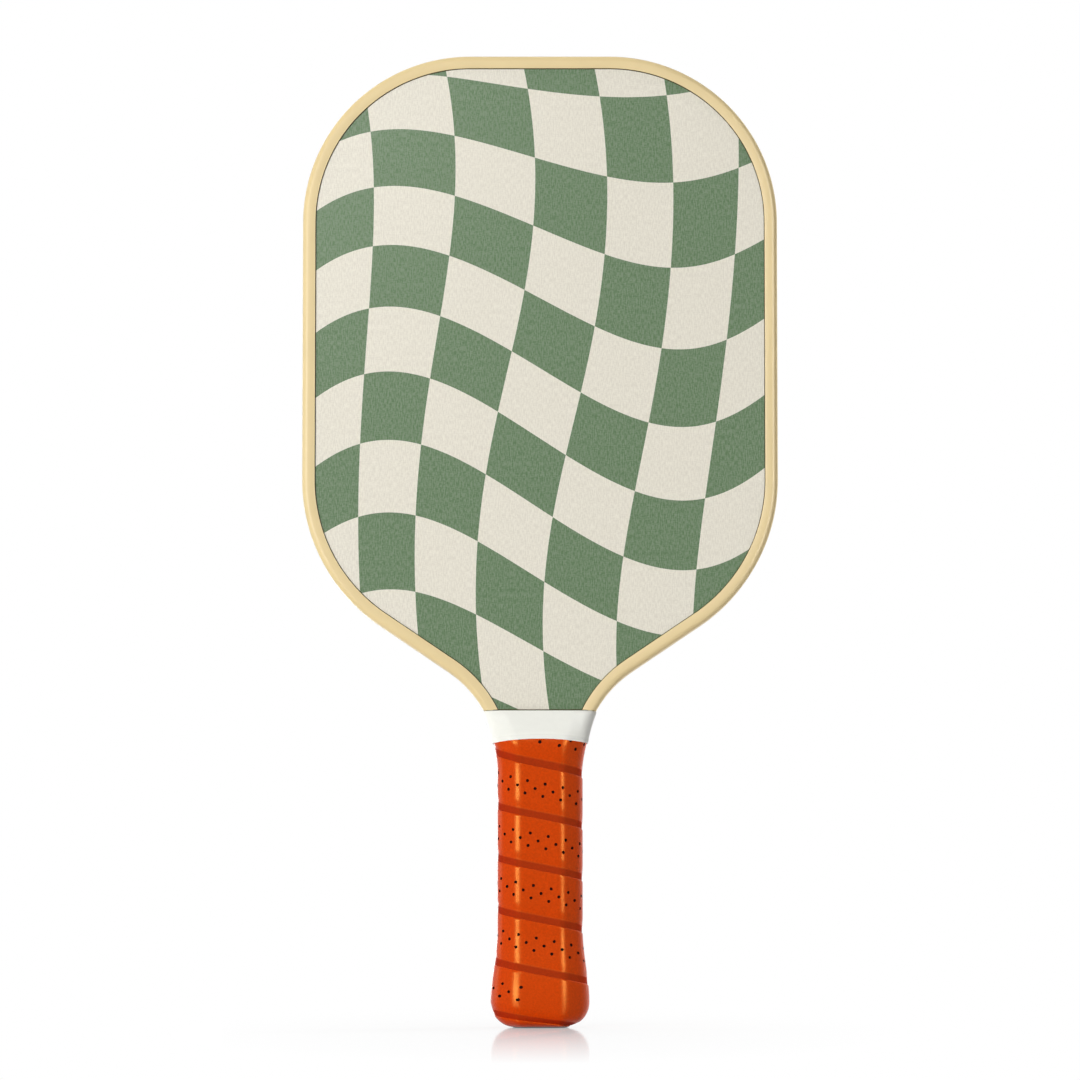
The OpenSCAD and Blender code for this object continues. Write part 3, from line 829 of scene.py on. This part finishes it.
class PADDLE_OT_stage(bpy.types.Operator):
    """Set up the floor, the lights, the white surroundings and the camera"""

    bl_idname = "paddle.stage"
    bl_label = "Stage"

    def execute(self, context):
        scene = context.scene
        stage = scene.paddle_stage
        scene.view_settings.view_transform = "Standard"
        clear_selection()
        bpy.ops.mesh.primitive_plane_add(size=12)
        floor = context.object
        floor.name = "studio_floor"
        # Satin acrylic sheet: white, with a soft shadow, and a mirror image where it is seen at a low slant
        material, tree, place = start_material("white_acrylic_sheet")
        matt = add(tree, "ShaderNodeBsdfDiffuse", {"Color": (*stage.floor_white, 1)})
        mirror = add(tree, "ShaderNodeBsdfGlossy", {"Color": (1, 1, 1, 1), "Roughness": 0.05})
        slant = add(tree, "ShaderNodeLayerWeight", {"Blend": 0.5})
        gloss = add(tree, "ShaderNodeMapRange", {"Value": slant.outputs["Facing"], "From Min": 0.9,
                                                 "From Max": 0.98, "To Max": 0.9})
        sheet = add(tree, "ShaderNodeMixShader", {0: gloss.outputs[0], 1: matt.outputs[0],
                                                  2: mirror.outputs[0]})
        glow = add(tree, "ShaderNodeEmission", {"Strength": 1.0})
        narrow = add(tree, "ShaderNodeMapping", {"Vector": place.outputs["Object"], "Scale": (3, 1, 1)})
        reach = add(tree, "ShaderNodeVectorMath", {0: narrow.outputs[0]}, operation="LENGTH")
        share = add(tree, "ShaderNodeMapRange", {"Value": reach.outputs["Value"], "From Max": 0.44,
                                                 "To Min": 0.7, "To Max": 0.0})
        seen = add(tree, "ShaderNodeMixShader", {0: share.outputs[0], 1: glow.outputs[0],
                                                 2: sheet.outputs[0]})
        bounce = add(tree, "ShaderNodeBsdfDiffuse", {"Color": (0.62, 0.62, 0.62, 1)})
        surface = add(tree, "ShaderNodeMixShader", {0: looking(tree), 1: bounce.outputs[0],
                                                    2: seen.outputs[0]})
        add(tree, "ShaderNodeOutputMaterial", {"Surface": surface.outputs[0]})
        floor.data.materials.append(material)

        # Soft boxes: bearing from the front, distance, height, width, length, power, and whether they light
        # matt surfaces and whether they show as highlights
        boxes = (
            (-32, 2.2, 0.3, 1.0, 0.6, 38.0, True, True),
            (-100, 1.1, 0.4, 0.4, 0.8, 1.2, True, True),
            (36, 1.1, 0.4, 0.1, 0.8, 0.5, False, True),
            (-162, 1.1, 0.4, 0.3, 0.8, 3.0, True, True),
            (125, 1.1, 0.4, 0.3, 0.8, 11.0, True, False),
            (0, 0.0, 2.2, 1.2, 1.2, 20.0, True, False),
            (-14, 1.1, 0.65, 0.25, 0.25, 3.2, False, True),
            (32, 1.1, 0.4, 0.3, 0.8, 11.0, False, True))
        head_height = Vector((0, 0, 0.25))
        for bearing, distance, height, width, length, power, lights_matt, shines in boxes:
            bearing = math.radians(bearing)
            spot = Vector((distance * math.sin(bearing), -distance * math.cos(bearing), height))
            aim = (head_height - spot).to_track_quat("-Z", "Y").to_euler()
            bpy.ops.object.light_add(type="AREA", location=spot, rotation=aim)
            context.object.visible_diffuse = lights_matt
            context.object.visible_glossy = shines
            light = context.object.data
            light.shape = "RECTANGLE"
            light.size = width
            light.size_y = length
            light.energy = power

        # The surroundings are white to look at, and light the paddle only a little
        world = bpy.data.worlds.new("white_surroundings")
        scene.world = world
        world.use_nodes = True
        tree = world.node_tree
        tree.nodes.clear()
        level = add(tree, "ShaderNodeMapRange", {"Value": looking(tree), "To Min": 0.03, "To Max": 1.0})
        sky = add(tree, "ShaderNodeBackground", {"Color": (1, 1, 1, 1), "Strength": level.outputs[0]})
        add(tree, "ShaderNodeOutputWorld", {"Surface": sky.outputs[0]})

        axis = stage.view_middle - stage.shift * stage.view_height
        pitch = math.atan((axis - stage.eye_height) / stage.distance)
        bpy.ops.object.camera_add(location=(0, -stage.distance, stage.eye_height),
                                  rotation=(math.pi / 2 + pitch, 0, 0))
        camera = context.object
        camera.data.shift_y = stage.shift
        camera.data.lens = camera.data.sensor_width * stage.distance / math.cos(pitch) / stage.view_height
        scene.camera = camera
        return {"FINISHED"}


class VIEW3D_PT_paddle(bpy.types.Panel):
    """Sizes, colours and steps of the paddle"""

    bl_label = "Pickleball paddle"
    bl_space_type = "VIEW_3D"
    bl_region_type = "UI"
    bl_category = "Paddle"

    def draw(self, context):
        for group in (context.scene.paddle_head, context.scene.paddle_handle, context.scene.paddle_stage):
            box = self.layout.box()
            for name in group.bl_rna.properties.keys():
                if name not in ("rna_type", "name"):
                    box.prop(group, name)
        for step in STEPS:
            self.layout.operator(step.bl_idname)


STEPS = (PADDLE_OT_faces, PADDLE_OT_inside, PADDLE_OT_edge_guard, PADDLE_OT_grip_tape,
         PADDLE_OT_grip_collar, PADDLE_OT_butt_cap, PADDLE_OT_stage)
CLASSES = (PaddleHead, PaddleHandle, PaddleStage, *STEPS, VIEW3D_PT_paddle)


def register():
    """Makes the settings, steps and panel known to Blender."""
    for item in CLASSES:
        bpy.utils.register_class(item)
    bpy.types.Scene.paddle_head = PointerProperty(type=PaddleHead)
    bpy.types.Scene.paddle_handle = PointerProperty(type=PaddleHandle)
    bpy.types.Scene.paddle_stage = PointerProperty(type=PaddleStage)


def unregister():
    """Takes them away again."""
    del bpy.types.Scene.paddle_stage
    del bpy.types.Scene.paddle_handle
    del bpy.types.Scene.paddle_head
    for item in reversed(CLASSES):
        bpy.utils.unregister_class(item)


def main():
    """Runs every step."""
    register()
    bpy.ops.paddle.faces()
    bpy.ops.paddle.inside()
    bpy.ops.paddle.edge_guard()
    bpy.ops.paddle.grip_tape()
    bpy.ops.paddle.grip_collar()
    bpy.ops.paddle.butt_cap()
    bpy.ops.paddle.stage()


if __name__ == "__main__":
    main()
